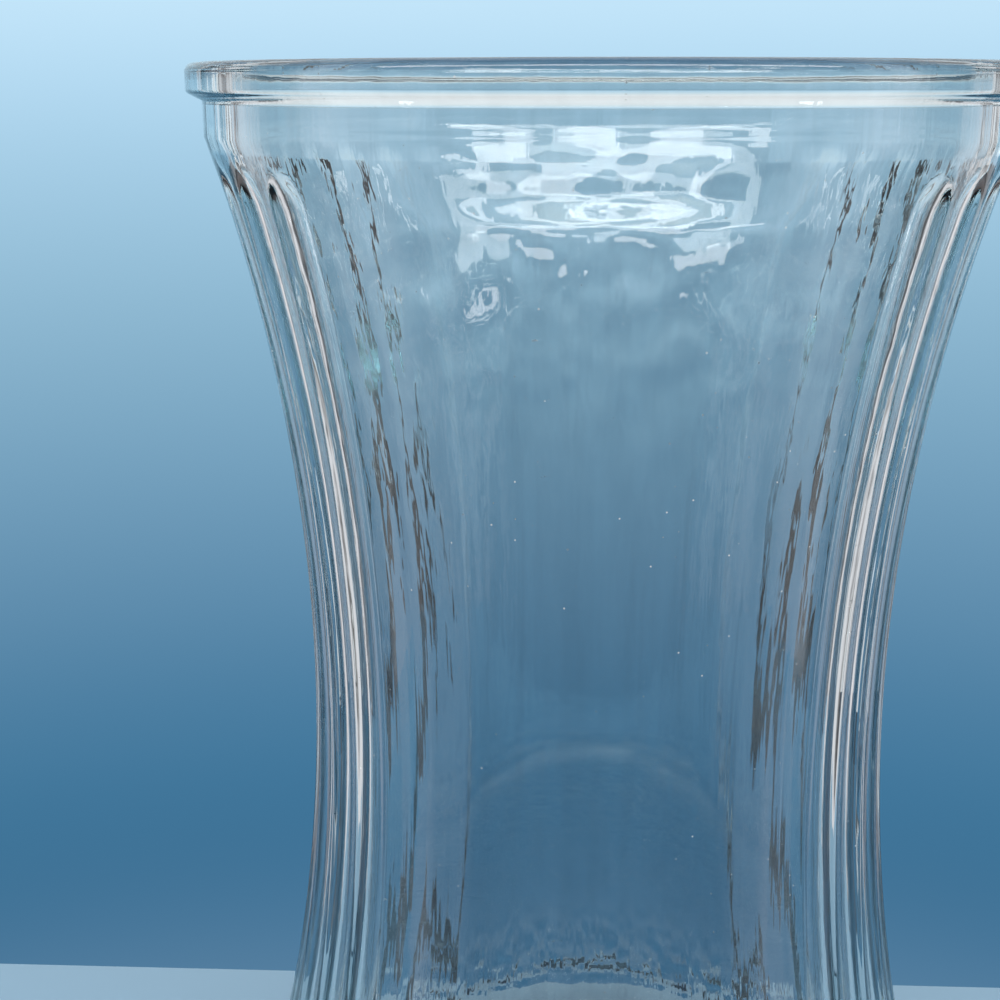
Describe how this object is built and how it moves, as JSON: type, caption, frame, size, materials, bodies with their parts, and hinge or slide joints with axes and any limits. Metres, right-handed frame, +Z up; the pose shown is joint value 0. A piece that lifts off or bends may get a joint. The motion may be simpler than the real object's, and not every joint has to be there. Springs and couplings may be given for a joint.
{
  "type": "flower vase",
  "caption": "Hourglass flower vase in clear pressed glass, with a beaded round rim, plain front and rear panels and fluted sides; holds water and stems.",
  "frame": {"origin": "middle of the resting plane under the foot", "axes": "+Z up along the vase's axis; -Y is the front panel that faces the viewer"},
  "size_m": [0.1532, 0.1532, 0.254],
  "materials": {
    "clear_glass": "fire-polished clear pressed glass"
  },
  "bodies": {
    "root": {"rim": "clear_glass", "front_panel": "clear_glass", "rear_panel": "clear_glass", "front_right_flutes": "clear_glass", "rear_right_flutes": "clear_glass", "rear_left_flutes": "clear_glass", "front_left_flutes": "clear_glass", "foot_ring": "clear_glass", "base": "clear_glass"}
  },
  "joints": []
}
